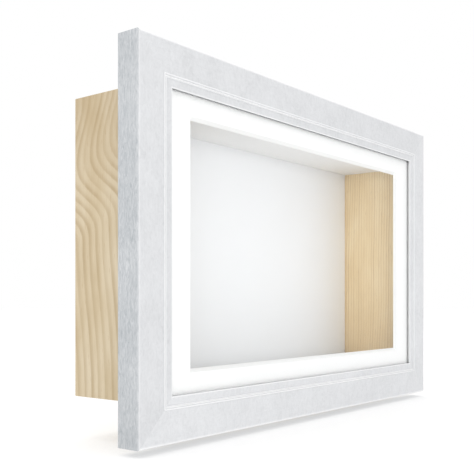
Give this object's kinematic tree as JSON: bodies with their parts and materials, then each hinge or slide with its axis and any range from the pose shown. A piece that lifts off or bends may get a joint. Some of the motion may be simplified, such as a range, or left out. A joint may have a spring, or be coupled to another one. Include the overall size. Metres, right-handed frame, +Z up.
{
  "type": "shadow box",
  "caption": "Deep wall shadow box: whitewashed mitred moulding, glass, bevelled white mat and a pine box closed by a lift-off back panel with D-ring hangers.",
  "frame": {"origin": "on the wall plane, midway between the hinge lines of the two hanging rings", "axes": "+X to the right as the front is seen, +Y from front to back into the wall, +Z up"},
  "size_m": [0.34, 0.076, 0.22],
  "materials": {
    "whitewashed_wood": "brushed chalky whitewash over open grain",
    "pine": "planed, unfinished",
    "beech": "plain",
    "glass": "clear float glass",
    "mat_board": "smooth white card with a white bevel",
    "lining_card": "smooth white card",
    "fibreboard": "raw brown fibreboard",
    "zinc_steel": "bright zinc plate",
    "spring_steel": "plain spring steel"
  },
  "bodies": {
    "case": {"frame_top": "whitewashed_wood", "frame_bottom": "whitewashed_wood", "frame_left": "whitewashed_wood", "frame_right": "whitewashed_wood", "corner_v_nails": "spring_steel", "glass_pane": "glass", "window_mat": "mat_board", "box_top": "pine", "box_bottom": "pine", "box_left": "pine", "box_right": "pine", "box_dowels": "beech", "frame_brackets": "zinc_steel", "bracket_screws": "zinc_steel", "liner_top": "lining_card", "liner_bottom": "lining_card", "retaining_tabs": "spring_steel"},
    "back_panel": {"back_board": "fibreboard", "liner_back": "lining_card", "hanger_straps": "zinc_steel", "hanger_rivets": "zinc_steel"},
    "left_ring": {"ring_left": "zinc_steel"},
    "right_ring": {"ring_right": "zinc_steel"}
  },
  "joints": [
    {"name": "panel_lift_off", "type": "slide", "parent": "case", "child": "back_panel", "axis": [0, 1, 0], "range_m": [0, 0.06], "deforming": ["retaining_tabs"]},
    {"name": "left_ring_swing", "type": "hinge", "parent": "back_panel", "child": "left_ring", "pos_m": [-0.08, -0.00925, 0], "axis": [1, 0, 0], "range_deg": [0, 180]},
    {"name": "right_ring_swing", "type": "hinge", "parent": "back_panel", "child": "right_ring", "pos_m": [0.08, -0.00925, 0], "axis": [1, 0, 0], "range_deg": [0, 180]}
  ]
}
